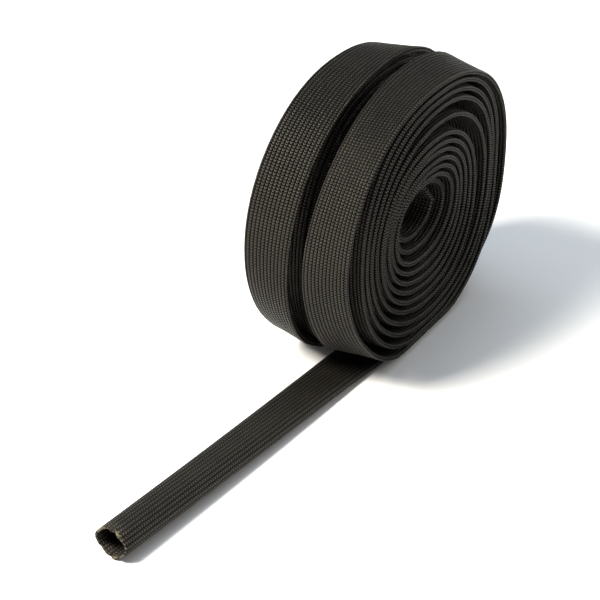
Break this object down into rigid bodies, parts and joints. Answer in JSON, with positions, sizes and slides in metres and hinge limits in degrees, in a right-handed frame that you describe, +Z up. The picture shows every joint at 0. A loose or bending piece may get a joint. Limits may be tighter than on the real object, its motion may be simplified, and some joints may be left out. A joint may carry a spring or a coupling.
{
  "type": "heat-resistant sleeve",
  "caption": "Flexible knitted glass-fibre sleeve, flattened and wound into a double roll, with its open round end laid out to take a cable.",
  "frame": {"origin": "on the ground under the middle of the whole part", "axes": "+Y along the free end, from its open mouth towards the rolls; +X across both rolls, along the axis they turn about, towards the roll that the free end leaves; +Z up"},
  "size_m": [0.0428, 0.2264, 0.1108],
  "materials": {
    "glass_knit": "satin"
  },
  "bodies": {
    "root": {"sleeve": "glass_knit"}
  },
  "joints": []
}
